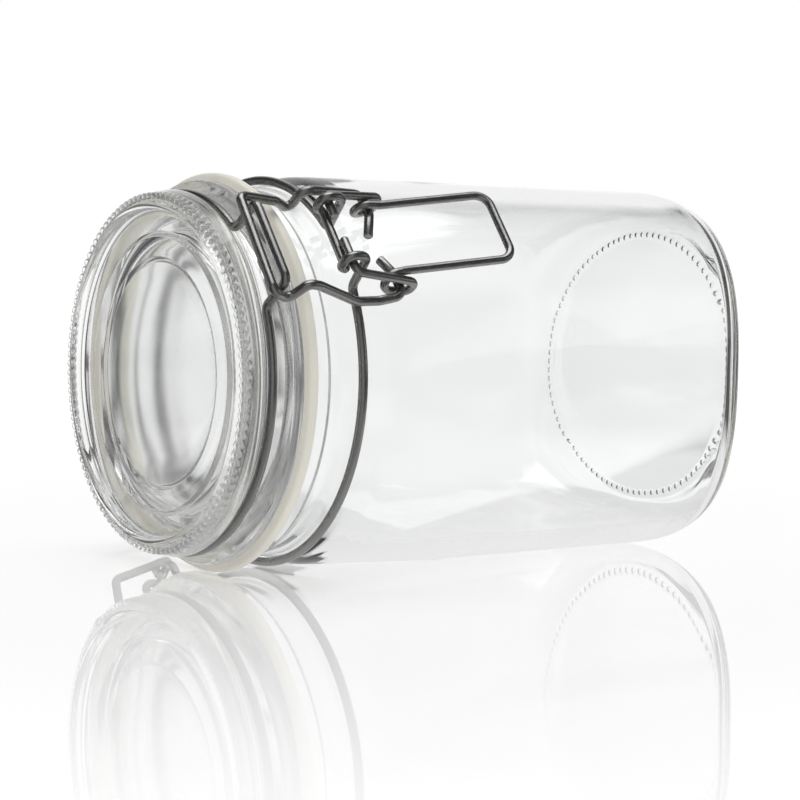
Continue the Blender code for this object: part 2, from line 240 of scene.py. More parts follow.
def grid_mesh(name, grid, lengthwise, closed):
    """Mesh on a grid of points, rows by columns, whose columns run round.

    Face (i, j) joins rows i and i + 1 and columns j and j + 1. A closed grid joins its last row to
    its first. An open one gets a pole at the middle of each end row. The UV map holds the share of
    the way round and the length along the rows in metres.
    """
    rows, columns = grid.shape[:2]
    points = grid.reshape(-1, 3)
    row = np.arange(rows if closed else rows - 1)[:, None]
    column = np.arange(columns)[None, :]
    following = (row + 1) % rows
    beside = (column + 1) % columns
    quads = np.stack(np.broadcast_arrays(
        row * columns + column,
        following * columns + column,
        following * columns + beside,
        row * columns + beside,
    ), axis=-1).reshape(-1, 4)
    round_share = np.stack(np.broadcast_arrays(column, column, column + 1, column + 1), axis=-1) / columns
    ends = np.append(lengthwise, 2.0 * lengthwise[-1] - lengthwise[-2])
    along = np.stack([ends[row], ends[row + 1], ends[row + 1], ends[row]], axis=-1)
    uvs = np.stack(np.broadcast_arrays(round_share, along), axis=-1).reshape(-1, 2)
    corners, starts, totals = quads.ravel(), np.arange(len(quads)) * 4, np.full(len(quads), 4)
    if not closed:
        first, last = len(points), len(points) + 1
        points = np.concatenate([points, [grid[0].mean(axis=0), grid[-1].mean(axis=0)]])
        here, after = column[0], beside[0]
        top = (rows - 1) * columns
        fans = np.concatenate([
            np.column_stack([np.full(columns, first), here, after]),
            np.column_stack([np.full(columns, last), top + after, top + here]),
        ])
        fan_uv = np.zeros((len(fans), 3, 2))
        fan_uv[:columns, :, 1], fan_uv[columns:, :, 1] = lengthwise[0], lengthwise[-1]
        starts = np.concatenate([starts, len(corners) + np.arange(len(fans)) * 3])
        totals = np.concatenate([totals, np.full(len(fans), 3)])
        corners = np.concatenate([corners, fans.ravel()])
        uvs = np.concatenate([uvs, fan_uv.reshape(-1, 2)])
    mesh = bpy.data.meshes.new(name)
    mesh.vertices.add(len(points))
    mesh.vertices.foreach_set("co", points.astype(np.float32).ravel())
    mesh.loops.add(len(corners))
    mesh.loops.foreach_set("vertex_index", corners.astype(np.int32))
    mesh.polygons.add(len(starts))
    mesh.polygons.foreach_set("loop_start", starts.astype(np.int32))
    mesh.polygons.foreach_set("loop_total", totals.astype(np.int32))
    mesh.uv_layers.new(name="UVMap")
    mesh.uv_layers["UVMap"].data.foreach_set("uv", uvs.astype(np.float32).ravel())
    mesh.update(calc_edges=True)
    if mesh.validate():
        raise RuntimeError(f"{name} has faces that Blender can't keep")
    mesh.shade_smooth()
    return mesh


def section_radius(half, power, angles):
    """Radius of a superellipse: half / (|cos a| ** power + |sin a| ** power) ** (1 / power)."""
    spread_sum = np.abs(np.cos(angles)) ** power + np.abs(np.sin(angles)) ** power
    return half / spread_sum ** (1.0 / power)


def line_length(line):
    """Length from the line's start to each of its points, in metres."""
    return np.concatenate([[0.0], np.cumsum(np.linalg.norm(np.diff(line, axis=0), axis=1))]) * MM


def turns_of(columns):
    """Angles of the columns of a turned surface, as one row."""
    return (np.arange(columns) * 2.0 * math.pi / columns)[None, :]


def ribs(count, angles):
    """Depth below the crests of a row of round ribs: 1 - |cos(count * a / 2)|, which is 1 in a valley."""
    return 1.0 - np.abs(np.cos(count * angles / 2.0))


def outer_half(u):
    """Half width across the flats, which draws in a little towards the base."""
    return BODY_HALF + (BASE_HALF - BODY_HALF) * (u - SIDE_START) / (HEEL_CENTRE[0] - SIDE_START)


def body_outside():
    """Corners (u, half width) with their radii, from the middle of the base to the sealing face."""
    punt = [((BASE_U - PUNT_DEPTH * (1.0 - (r / BEARING[0]) ** 2), r), 0.0) for r in PUNT_ROWS]
    bearing = [((BASE_U, r), 0.0) for r in np.arange(*BEARING, KNURL_ROW)]
    heel = [
        ((HEEL_CENTRE[0] + HEEL_REACH[0] * math.cos(t), HEEL_CENTRE[1] + HEEL_REACH[1] * math.sin(t)), 0.0)
        for t in HEEL_TURNS
    ]
    return punt + bearing + heel + [
        ((SIDE_START, BODY_HALF), 14.0),
        ((20.7, BODY_HALF - 0.15), 8.0),
        ((15.2, SEAT_RADIUS), 4.0),
        ((11.2, SEAT_RADIUS), 3.0),
        ((8.0, NECK_RADIUS - 0.4), 4.0),
        ((5.4, NECK_RADIUS), 2.0),
        ((4.1, RIM_RADIUS), 1.3),
        ((SEAL_U, RIM_RADIUS), SEAL_ROUND),
        ((SEAL_U, MOUTH_RADIUS), SEAL_ROUND),
    ]


def body_inside():
    """Corners from the mouth along the inner wall to the middle of the inner floor."""
    return [
        ((4.0, MOUTH_RADIUS), 6.0),
        ((12.5, 41.9), 14.0),
        ((23.0, outer_half(23.0) - WALL), 14.0),
        ((FLOOR_U, outer_half(FLOOR_U) - WALL), INNER_ROUND),
        ((FLOOR_U - 0.9, POLE_RADIUS), 0.0),
    ]


def body_mesh(shape):
    """Body wall: profile (u, half) turned round the axis as superellipses.

    The exponent grows from 2 at the neck to its full value down the side, and falls back to 2 on the
    base. The inner wall also moves by a sum of slow sines of u and of the angle, as blown glass does,
    and the bearing ring is cut by ribs.
    """
    line = spread(filleted(body_outside() + body_inside()), BODY_LEG)
    from_seal = np.abs(line[:, 0] - SEAL_U) + np.abs(line[:, 1] - (MOUTH_RADIUS + SEAL_ROUND))
    is_inner = (np.arange(len(line)) > np.argmin(from_seal))[:, None]
    u, half = line[:, :1], line[:, 1:2]
    angles = turns_of(shape.knurl_count * RIB_COLUMNS)
    flat_share = np.where(is_inner, rising(half, *INNER_FLAT_RISE), rising(half, *OUTER_FLAT_RISE))
    power = 2.0 + (SIDE_POWER - 2.0) * rising(u, *SQUARE_RISE) * flat_share
    radius = section_radius(half, power, angles)
    depth = rising(u, *WAVE_RISE_ALONG) * rising(half, *WAVE_RISE_OUT)
    waves = sum(
        share * np.sin(turns * angles + along * u + start)
        for share, turns, along, start in WALL_WAVES
    )
    radius = radius + np.where(is_inner, shape.inner_wave / MM * depth * waves, 0.0)
    ring_share = 1.0 - smoothstep(np.abs(half - KNURL_RADIUS) / KNURL_REACH)
    cut = np.where(is_inner, 0.0, shape.knurl_depth / MM * ring_share * ribs(shape.knurl_count, angles))
    grid = jar_points(u - cut, radius * np.cos(angles), radius * np.sin(angles))
    return grid_mesh("jar_body", grid, line_length(line), False)


def lid_line():
    """Corners (u, radius) with their radii, from the middle of the underside out and back over the top."""
    rim_u, rim_r = RIM_CENTRE
    return [
        ((-9.6, POLE_RADIUS), 0.0),
        ((-9.6, 34.9), 6.0),
        ((2.5, 36.2), 0.9),
        ((2.5, 39.3), 0.9),
        ((-2.4, 39.3), 0.4),
        ((-2.4, 46.4), 0.6),
        ((-4.9, 46.4), 1.0),
        ((-7.3, 41.7), 1.0),
        ((-10.5, 41.7), 0.7),
        ((-11.1, 44.2), 0.9),
        ((rim_u + 1.2, rim_r + RIM_ROUND), 2.0),
        ((rim_u - RIM_ROUND, rim_r + RIM_ROUND), RIM_ROUND - 0.05),
        ((rim_u - RIM_ROUND, rim_r - RIM_ROUND), RIM_ROUND - 0.05),
        ((-15.0, 38.9), 1.6),
        ((-14.3, 34.1), 0.3),
        ((-13.7, 33.5), 0.25),
        ((-14.9, 32.8), 0.3),
        ((-14.9, 27.9), 0.3),
        ((-13.7, 27.2), 0.25),
        ((-14.3, 26.6), 0.3),
        ((-14.3, POLE_RADIUS), 0.0),
    ]


def lid_mesh(shape):
    """Lid turned round the axis, with a row of beads on the half round of its rim.

    A bead stands above the rim by height * sqrt(1 - x * x - y * y), where x and y are the distances
    from its middle round and across the rim over its radius. The rim is first sunk by the same
    height where the beads are, so that their crests keep the rim's own size.
    """
    line = spread(filleted(lid_line(), step=LID_STEP), LID_LEG)
    angles = turns_of(shape.bead_count * RIB_COLUMNS)
    u, radius = line[:, :1], line[:, 1:2]
    out_u, out_r = u - RIM_CENTRE[0], radius - RIM_CENTRE[1]
    from_centre = np.maximum(np.hypot(out_u, out_r), 0.1)
    turn = np.arctan2(-out_u, out_r)
    on_round = (np.abs(from_centre - RIM_ROUND) < NEAR_RIM) & (turn > RIM_TURN)
    across = np.where(on_round, (turn - (math.pi - BEAD_ROW)) * RIM_ROUND / BEAD_RADIUS, OFF_BEADS)
    pitch = 2.0 * math.pi / shape.bead_count
    from_bead = (angles + pitch / 2.0) % pitch - pitch / 2.0
    round_way = from_bead * radius / BEAD_RADIUS
    dome = np.sqrt(np.clip(1.0 - across**2 - round_way**2, 0.0, 1.0))
    sunk = 1.0 - rising(np.abs(across), 1.0, BEAD_BLEND)
    cut = shape.bead_height / MM * (sunk - dome) / from_centre
    radius = radius - cut * out_r
    grid = jar_points(u - cut * out_u, radius * np.cos(angles), radius * np.sin(angles))
    return grid_mesh("jar_lid", grid, line_length(line), False)


def gasket_mesh():
    """Flat rubber ring: a rounded oblong section turned round the axis.

    Its outer edge wanders by a slow sum of sines of the angle, and a shallow moulded groove runs
    round each face.
    """
    low, high = GASKET_U
    inner, outer = GASKET_RADII
    corners = [
        ((low, inner), 0.3), ((high, inner), 0.3),
        ((high, outer - 6.2), 0.3), ((high - 0.3, outer - 5.6), 0.3), ((high, outer - 5.0), 0.3),
        ((high, outer), 0.8), ((low, outer), 0.8),
        ((low, outer - 5.0), 0.3), ((low + 0.3, outer - 5.6), 0.3), ((low, outer - 6.2), 0.3),
    ]
    line = spread(filleted(corners, closed=True, step=GASKET_STEP), GASKET_LEG)
    angles = turns_of(GASKET_COLUMNS)
    u, radius = line[:, :1], line[:, 1:2]
    wander = 0.10 * np.sin(3.0 * angles + 0.8) + 0.06 * np.sin(7.0 * angles + 2.2) - 0.30
    radius = radius + wander * rising(radius, inner, outer - inner)
    grid = jar_points(u + 0.0 * angles, radius * np.cos(angles), radius * np.sin(angles))
    return grid_mesh("gasket_ring", grid, line_length(line), True)


def wire_mesh(name, path, diameter, closed=False):
    """Round bar along a path given in the clasp frame.

    Each station has a circle square to the path. The circles' starting directions are first taken
    from the world axis that lies most across the path, and then turned back by the running sum of
    the twist between neighbours, so the bar doesn't twist. A closed bar shares out what twist is
    left. The ends of an open bar have a small chamfer.
    """
    centres = clasp_points(path)
    if closed:
        tangents = unit(np.roll(centres, -1, axis=0) - np.roll(centres, 1, axis=0))
    else:
        tangents = unit(np.gradient(centres, axis=0))
    radii = np.full(len(centres), diameter / 2.0)
    if not closed:
        chamfer = CHAMFER * diameter
        ends = np.array([0, 0, -1, -1])
        inset = np.array([0.0, chamfer, -chamfer, 0.0])[:, None]
        capped = centres[ends] + inset * tangents[ends]
        centres = np.concatenate([capped[:2], centres[1:-1], capped[2:]])
        tangents = np.concatenate([tangents[[0, 0]], tangents[1:-1], tangents[[-1, -1]]])
        radii = np.full(len(centres), diameter / 2.0)
        radii[[0, -1]] -= chamfer * CHAMFER_STEEPNESS
    across = np.eye(3)[np.argmin(np.abs(tangents), axis=1)]
    normal = unit(across - np.sum(across * tangents, axis=1, keepdims=True) * tangents)
    binormal = np.cross(tangents, normal)
    after = np.roll(np.arange(len(centres)), -1)
    ahead = tangents[after]
    straight = np.maximum(1.0 + np.sum(ahead * tangents, axis=1, keepdims=True), 1e-6)
    carried = normal - np.sum(ahead * normal, axis=1, keepdims=True) / straight * (tangents + ahead)
    twist = np.arctan2(np.sum(carried * binormal[after], axis=1), np.sum(carried * normal[after], axis=1))
    turned = np.concatenate([[0.0], np.cumsum(twist[:-1])])
    if closed:
        left_over = (turned[-1] + twist[-1] + math.pi) % (2.0 * math.pi) - math.pi
        turned = turned - left_over * np.arange(len(turned)) / len(turned)
    angles = np.arange(WIRE_SIDES) * 2.0 * math.pi / WIRE_SIDES
    round_angle = (turned[:, None] + angles[None, :])[..., None]
    circle = np.cos(round_angle) * normal[:, None] + np.sin(round_angle) * binormal[:, None]
    grid = (centres[:, None] + radii[:, None, None] * circle) * MM
    mesh = grid_mesh(name, grid[::-1], line_length(centres), closed)
    mesh.set_sharp_from_angle(angle=SHARP_ANGLE)
    return mesh


def mirrored(half):
    """Corners of one half, from s > 0, followed by their mirror images in reverse order."""
    return half + [((u, h, -s), radius) for (u, h, s), radius in reversed(half)]


def ring_points(u, radius, front_s, rear_s):
    """Half a wire ring as corners, from beside the clasp round to beside the hinge."""
    start, end = math.asin(front_s / radius), math.pi - math.asin(rear_s / radius)
    clear = RING_CLEAR / radius
    turns = np.linspace(start + clear, end - clear, round((end - start) / RING_STEP))
    return [((u, radius * math.cos(a), radius * math.sin(a)), 0.0) for a in turns]


def neck_wire_path():
    """Hook round the hinge bar, half the ring and an eye for the lever, then the mirror image."""
    hinge_u, hinge_h = LID_HINGE
    lever_u, lever_h = LEVER_HINGE
    hook = [
        ((hinge_u - EYE_LOOP, hinge_h + 2.2, HINGE_EYE_S), 0.0),
        ((hinge_u - EYE_LOOP, hinge_h - EYE_LOOP, HINGE_EYE_S), 2.6),
        ((hinge_u + EYE_LOOP, hinge_h - EYE_LOOP, HINGE_EYE_S), 2.6),
        ((hinge_u + EYE_LOOP, hinge_h + 3.0, HINGE_EYE_S), 5.0),
        ((NECK_RING_U, -math.sqrt(NECK_RING_RADIUS**2 - HINGE_EYE_S**2), HINGE_EYE_S), 2.4),
    ]
    half_ring = ring_points(NECK_RING_U, NECK_RING_RADIUS, EYE_S, HINGE_EYE_S)
    eye = [
        ((NECK_RING_U, math.sqrt(NECK_RING_RADIUS**2 - EYE_S**2), EYE_S), 2.4),
        ((lever_u + EYE_LOOP, lever_h + EYE_LOOP, EYE_S), 2.6),
        ((lever_u - EYE_LOOP, lever_h + EYE_LOOP, EYE_S), 2.6),
        ((lever_u - EYE_LOOP, lever_h - 1.6, EYE_S), 1.6),
        ((lever_u - 0.5, lever_h - EYE_LOOP, EYE_S), 1.6),
    ]
    return filleted(mirrored(hook + half_ring[::-1] + eye))


def lid_wire_path():
    """One closed wire: the seat bar for the link, the ring, and the bracket that turns on the hinge."""
    hinge_u, hinge_h = LID_HINGE
    front = [((-8.3, 51.8, SEAT_BAR_S), 1.9), ((LID_RING_U, 41.7, SEAT_BAR_S), 2.2)]
    rear = [
        ((LID_RING_U, -42.35, HINGE_BAR_S), 2.2),
        ((-5.2, -56.3, HINGE_BAR_S), 3.0),
        ((hinge_u, hinge_h, HINGE_BAR_S), 2.2),
    ]
    half_ring = ring_points(LID_RING_U, LID_RING_RADIUS, SEAT_BAR_S, HINGE_BAR_S)
    return filleted(mirrored(front + half_ring + rear), closed=True)


def link_wire_path():
    """Bar behind the lid wire's seat, two arms that dip and rise, and a hook at each end."""
    u, h = LINK_HINGE
    hook = [((u - 2.9, h, 2.2), 0.0), ((u, h, 8.8), 3.0), ((u, h, LINK_HOOK_S), 2.2)]
    upper_arm = [
        ((12.0, 52.0, 14.7), 5.0),
        ((5.2, 52.5, 14.6), 2.6),
        ((4.5, 45.3, 14.2), 2.4),
        ((-0.4, 48.8, 14.0), 4.0),
        ((-11.4, 50.9, LINK_BAR_S), 1.9),
    ]
    lower_arm = [
        ((-12.2, 50.9, -LINK_BAR_S), 1.9),
        ((-7.6, 48.1, -13.9), 2.6),
        ((-4.6, 54.0, -13.9), 2.4),
        ((-1.4, 53.4, -14.0), 2.8),
        ((10.5, 48.5, -14.8), 5.0),
        ((16.5, 48.9, -LINK_HOOK_S), 4.0),
    ]
    lower_hook = [((along, high, -across), radius) for (along, high, across), radius in reversed(hook)]
    lower_hook[-1] = ((u - 2.6, h, -4.2), 0.0)
    return filleted(hook + upper_arm + lower_arm + lower_hook)


def lever_wire_path():
    """Pins in the neck wire's eyes, a coil for each hook of the link, and the handle."""
    u, h = LEVER_HINGE
    arm = [
        ((u, h, 4.8), 0.0),
        ((u, h, 11.2), 2.0),
        ((25.6, 53.0, LEVER_COIL_S), 2.2),
        ((25.6, 48.7, 12.2), 2.2),
        ((19.2, 47.9, 11.0), 2.4),
        ((19.2, 52.9, 10.2), 2.6),
        ((24.0, 53.6, HANDLE_S), 4.0),
        ((52.0, 58.6, HANDLE_S), 3.6),
    ]
    corners = mirrored(arm)
    corners[-1] = ((u, h, -1.6), 0.0)
    return filleted(corners)


def add(tree, kind, settings=None, **inputs):
    """New node with its settings, and its inputs set to values or linked from sockets.

    An input is named by its label with _ for each space, or by in and its number.
    """
    node = tree.nodes.new(kind)
    for name, value in (settings or {}).items():
        setattr(node, name, value)
    for name, value in inputs.items():
        socket = node.inputs[int(name[2:])] if name[:2] == "in" else node.inputs[name.replace("_", " ")]
        if isinstance(value, bpy.types.NodeSocket):
            tree.links.new(value, socket)
        else:
            socket.default_value = value
    return node


def maths(tree, operation, first, second=0.0):
    """Output of a Math node."""
    return add(tree, "ShaderNodeMath", {"operation": operation}, in0=first, in1=second).outputs[0]


def vector_maths(tree, operation, first, second=(0.0, 0.0, 0.0)):
    """Output of a Vector Math node: a number where the operation gives one, and else a vector."""
    node = add(tree, "ShaderNodeVectorMath", {"operation": operation}, in0=first, in1=second)
    return node.outputs["Value" if operation in ("LENGTH", "DISTANCE", "DOT_PRODUCT") else "Vector"]


def ranged(tree, value, low, high, to_low, to_high, smooth=False):
    """Value moved from one range to another and held inside it."""
    settings = {"interpolation_type": "SMOOTHSTEP" if smooth else "LINEAR"}
    node = add(tree, "ShaderNodeMapRange", settings, in0=value, in1=low, in2=high, in3=to_low, in4=to_high)
    return node.outputs[0]


def new_group(name, inputs, outputs):
    """Empty node group with named float or vector sockets, and its input and output nodes."""
    tree = bpy.data.node_groups.new(name, "ShaderNodeTree")
    for label, (kind, value) in inputs.items():
        socket = tree.interface.new_socket(label, in_out="INPUT", socket_type=kind)
        if value is not None:
            socket.default_value = value
    for label in outputs:
        tree.interface.new_socket(label, in_out="OUTPUT", socket_type="NodeSocketFloat")
    return tree, tree.nodes.new("NodeGroupInput"), tree.nodes.new("NodeGroupOutput")


def wear_group():
    """Handling marks: slow clouds of grease times a finer speckle.

    Marks is 0 on clean surface and 1 in a mark, Height is a slow uneven relief, and Grain is a fine
    even noise.
    """
    number, vector = "NodeSocketFloat", "NodeSocketVector"
    tree, start, end = new_group(
        "Handling",
        {"Place": (vector, None), "Cloud Scale": (number, 30.0), "Fine Scale": (number, 900.0)},
        ("Marks", "Height", "Grain"),
    )
    place, cloud_scale, fine_scale = start.outputs[0], start.outputs[1], start.outputs[2]
    cloud = add(tree, "ShaderNodeTexNoise", Vector=place, Scale=cloud_scale, Detail=3.0, Roughness=0.55)
    relief = add(tree, "ShaderNodeTexNoise", Vector=place, Scale=cloud_scale, Detail=1.0, Distortion=0.6)
    fine = add(tree, "ShaderNodeTexNoise", Vector=place, Scale=fine_scale, Detail=4.0, Roughness=0.6)
    spots = ranged(tree, cloud.outputs[0], 0.52, 0.74, 0.0, 1.0, smooth=True)
    speckle = ranged(tree, fine.outputs[0], 0.35, 0.7, 0.35, 1.0)
    tree.links.new(maths(tree, "MULTIPLY", spots, speckle), end.inputs["Marks"])
    tree.links.new(relief.outputs[0], end.inputs["Height"])
    tree.links.new(fine.outputs[0], end.inputs["Grain"])
    return tree


def streak_group():
    """Drawn lines that run the length of a bar: noise on the UV map, squeezed round and stretched along."""
    number, vector = "NodeSocketFloat", "NodeSocketVector"
    tree, start, end = new_group(
        "Drawn Lines",
        {"Place": (vector, None), "Lines Round": (number, 26.0), "Lines Along": (number, 55.0)},
        ("Lines", "Pits"),
    )
    split = add(tree, "ShaderNodeSeparateXYZ", in0=start.outputs[0])
    turn = maths(tree, "MULTIPLY", split.outputs[0], 2.0 * math.pi)
    reach = maths(tree, "DIVIDE", start.outputs[1], 2.0 * math.pi)
    wide = maths(tree, "MULTIPLY", maths(tree, "COSINE", turn), reach)
    high = maths(tree, "MULTIPLY", maths(tree, "SINE", turn), reach)
    far = maths(tree, "MULTIPLY", split.outputs[1], start.outputs[2])
    place = add(tree, "ShaderNodeCombineXYZ", in0=wide, in1=high, in2=far).outputs[0]
    lines = add(tree, "ShaderNodeTexNoise", Vector=place, Scale=1.6, Detail=5.0, Roughness=0.65)
    pits = add(tree, "ShaderNodeTexNoise", Vector=place, Scale=9.0, Detail=2.0, Roughness=0.5)
    tree.links.new(lines.outputs[0], end.inputs["Lines"])
    tree.links.new(ranged(tree, pits.outputs[0], 0.58, 0.72, 0.0, 1.0), end.inputs["Pits"])
    return tree


def shared_group(name, builder):
    """The node group of that name, built once."""
    return bpy.data.node_groups.get(name) or builder()


def new_material(name):
    """Material with a bare Principled shader: its tree, shader and output."""
    made = bpy.data.materials.new(name)
    made.use_nodes = True
    tree = made.node_tree
    return made, tree, tree.nodes["Principled BSDF"], tree.nodes["Material Output"]


def place_node(tree, label, builder, place, **values):
    """A shared group placed in a material with its own values."""
    group = shared_group(label, builder)
    return add(tree, "ShaderNodeGroup", {"node_tree": group}, Place=place, **values)


def tinted(tree, shader, share, colour, low, high):
    """Colours a shader with low times colour where share is 0 and high times colour where it is 1."""
    tint = add(tree, "ShaderNodeMix", {"data_type": "RGBA"}, in0=share)
    tint.inputs[6].default_value = (*(low * value for value in colour), 1.0)
    tint.inputs[7].default_value = (*(high * value for value in colour), 1.0)
    tree.links.new(tint.outputs[2], shader.inputs["Base Color"])


def bumped(tree, shader, height, strength, distance):
    """Gives a shader a relief."""
    bump = add(tree, "ShaderNodeBump", Height=height, Strength=strength, Distance=distance)
    tree.links.new(bump.outputs[0], shader.inputs["Normal"])


def glass_material(name, finish, relief, moulded_reach=0.0):
    """Clear glass with faint relief and faint handling marks. Light from lamps passes straight through.

    The UV map's second value is the length along the profile. Up to moulded_reach the surface has
    the duller skin of a mould, which blurs what shows through it.
    """
    made, tree, shader, output = new_material(name)
    coords = add(tree, "ShaderNodeTexCoord").outputs
    marks = place_node(tree, "Handling", wear_group, coords["Object"], Cloud_Scale=34.0, Fine_Scale=620.0)
    tinted(tree, shader, marks.outputs["Marks"], finish.glass_colour, 1.0, 0.97)
    rough = ranged(tree, marks.outputs["Marks"], 0.0, 1.0, 0.0, 0.05)
    if moulded_reach:
        along = add(tree, "ShaderNodeSeparateXYZ", in0=coords["UV"]).outputs[1]
        skin = ranged(tree, along, moulded_reach - MM, moulded_reach, finish.moulded_roughness, 0.0)
        rough = maths(tree, "ADD", rough, skin)
    tree.links.new(rough, shader.inputs["Roughness"])
    bumped(tree, shader, marks.outputs["Height"], 1.0, relief)
    shader.inputs["Metallic"].default_value = 0.0
    shader.inputs["IOR"].default_value = finish.glass_ior
    shader.inputs["Transmission Weight"].default_value = 1.0
    path = add(tree, "ShaderNodeLightPath")
    passed = maths(tree, "MAXIMUM", path.outputs["Is Shadow Ray"], path.outputs["Is Diffuse Ray"])
    clear = add(tree, "ShaderNodeBsdfTransparent")
    mix = add(tree, "ShaderNodeMixShader", in0=passed, in1=shader.outputs[0], in2=clear.outputs[0])
    tree.links.new(mix.outputs[0], output.inputs["Surface"])
    return made


def rubber_material(name, finish):
    """Off-white moulded rubber: a little mottled, matt, with a fine grain."""
    made, tree, shader, _ = new_material(name)
    coords = add(tree, "ShaderNodeTexCoord").outputs["Object"]
    marks = place_node(tree, "Handling", wear_group, coords, Cloud_Scale=60.0, Fine_Scale=1500.0)
    tinted(tree, shader, marks.outputs["Marks"], finish.rubber_colour, 1.0, 0.86)
    tree.links.new(ranged(tree, marks.outputs["Grain"], 0.3, 0.7, 0.46, 0.62), shader.inputs["Roughness"])
    bumped(tree, shader, marks.outputs["Grain"], 0.35, RUBBER_RELIEF)
    return made


def steel_material(name, finish):
    """Drawn steel wire: dull grey with fine lines along it, darker in pits and brighter where rubbed."""
    made, tree, shader, _ = new_material(name)
    coords = add(tree, "ShaderNodeTexCoord")
    lines = place_node(tree, "Drawn Lines", streak_group, coords.outputs["UV"])
    marks = place_node(tree, "Handling", wear_group, coords.outputs["Object"], Cloud_Scale=120.0)
    drawn = lines.outputs["Lines"]
    tinted(tree, shader, ranged(tree, drawn, 0.3, 0.7, 0.0, 1.0), finish.steel_colour, 0.72, 1.25)
    rough = ranged(tree, drawn, 0.3, 0.7, finish.steel_roughness + 0.08, finish.steel_roughness)
    worn = maths(tree, "MULTIPLY", marks.outputs["Marks"], 0.12)
    tree.links.new(maths(tree, "ADD", rough, worn), shader.inputs["Roughness"])
    depth = maths(tree, "SUBTRACT", drawn, maths(tree, "MULTIPLY", lines.outputs["Pits"], 0.6))
    bumped(tree, shader, depth, 0.5, STEEL_RELIEF)
    shader.inputs["Metallic"].default_value = 1.0
    return made


def floor_material(finish):
    """White glossy floor, lit a little from below, whose shine fades with the distance from the jar.

    What the glass gathers from the floor is a light pattern of its own: bright in a wedge behind the
    jar and in two patches beside it, dimmer in a wedge in front, and dark elsewhere, as beyond the
    edges of a lit table.
    """
    made, tree, shader, output = new_material("studio_floor")
    coords = add(tree, "ShaderNodeTexCoord").outputs["Object"]
    away = vector_maths(tree, "LENGTH", coords)
    ahead = vector_maths(tree, "DOT_PRODUCT", vector_maths(tree, "NORMALIZE", coords), FORWARD)
    path = add(tree, "ShaderNodeLightPath")
    shader.inputs["Base Color"].default_value = (finish.floor_white,) * 3 + (1.0,)
    shader.inputs["Roughness"].default_value = 0.9
    shader.inputs["Specular IOR Level"].default_value = 0.0
    shader.inputs["Coat Roughness"].default_value = 0.02
    shader.inputs["Coat IOR"].default_value = 1.5
    shader.inputs["Emission Color"].default_value = (1.0, 1.0, 1.0, 1.0)
    fade = ranged(tree, away, *SHINE_FADE, 0.0, 1.0, smooth=True)
    tree.links.new(ranged(tree, fade, 0.0, 1.0, 1.0, FAR_SHINE), shader.inputs["Coat Weight"])
    shown = ranged(tree, fade, 0.0, 1.0, finish.floor_glow, finish.floor_far_glow)
    tree.links.new(shown, shader.inputs["Emission Strength"])
    wedge = ranged(tree, ahead, *WEDGE_EDGE, 0.0, finish.floor_in_glass, smooth=True)
    behind = maths(tree, "MULTIPLY", ahead, -1.0)
    front = ranged(tree, behind, *WEDGE_EDGE, 0.0, BACK_SHARE * finish.floor_in_glass, smooth=True)
    brightness = maths(tree, "MAXIMUM", wedge, front)
    for middle, full, gone in FLOOR_PATCHES:
        apart = vector_maths(tree, "DISTANCE", coords, middle)
        patch = ranged(tree, apart, full, gone, finish.floor_patch, finish.floor_dark, smooth=True)
        brightness = maths(tree, "MAXIMUM", brightness, patch)
    gathered = add(tree, "ShaderNodeEmission", Strength=brightness)
    plain = maths(tree, "MAXIMUM", path.outputs["Is Camera Ray"], path.outputs["Is Diffuse Ray"])
    mix = add(tree, "ShaderNodeMixShader", in0=plain, in1=gathered.outputs[0], in2=shader.outputs[0])
    tree.links.new(mix.outputs[0], output.inputs["Surface"])
    return made


def build_world(studio):
    """White studio: a bright field behind the jar, two soft strips beside it, a soft box overhead.

    The field is a smooth step of a direction's forward share, after its height is lessened, so that
    it is a tall bright oval behind the jar. It is a little darker towards the top, and a dimmer one
    faces it. Each strip is a smooth step of the sideways share, and the box one of the upward share.
    All else is dark, but gives matt surfaces an even light. The camera itself sees plain white.
    """
    world = bpy.data.worlds.new("studio")
    bpy.context.scene.world = world
    world.use_nodes = True
    tree = world.node_tree
    tree.nodes.clear()
    way = add(tree, "ShaderNodeTexCoord").outputs["Generated"]
    lowered = vector_maths(tree, "NORMALIZE", vector_maths(tree, "MULTIPLY", way, FIELD_STRETCH))
    ahead = vector_maths(tree, "DOT_PRODUCT", lowered, FORWARD)
    behind = maths(tree, "MULTIPLY", ahead, -1.0)
    sideways = maths(tree, "ABSOLUTE", vector_maths(tree, "DOT_PRODUCT", way, SIDEWAYS))
    above = add(tree, "ShaderNodeSeparateXYZ", in0=way).outputs[2]
    bright = studio.field_light
    lights = (
        (ahead, studio.field_edge, ranged(tree, above, *FIELD_TOP, bright, TOP_SHARE * bright, smooth=True)),
        (behind, studio.field_edge, BACK_SHARE * bright),
        (sideways, studio.strip_edge, studio.strip_light),
        (above, studio.box_edge, studio.box_light),
    )
    total = studio.dark_light
    for share, edge, brightness in lights:
        lit = ranged(tree, share, *edge, 0.0, 1.0, smooth=True)
        total = maths(tree, "ADD", total, maths(tree, "MULTIPLY", lit, brightness))
    path = add(tree, "ShaderNodeLightPath")
    even = maths(tree, "MULTIPLY", path.outputs["Is Diffuse Ray"], studio.even_light)
    total = maths(tree, "ADD", total, even)
    seen = path.outputs["Is Camera Ray"]
    plain = add(tree, "ShaderNodeMix", {"data_type": "FLOAT"}, in0=seen, in2=total, in3=1.0).outputs[0]
    background = add(tree, "ShaderNodeBackground", Color=(1.0, 1.0, 1.0, 1.0), Strength=plain)
    output = add(tree, "ShaderNodeOutputWorld")
    tree.links.new(background.outputs[0], output.inputs[0])


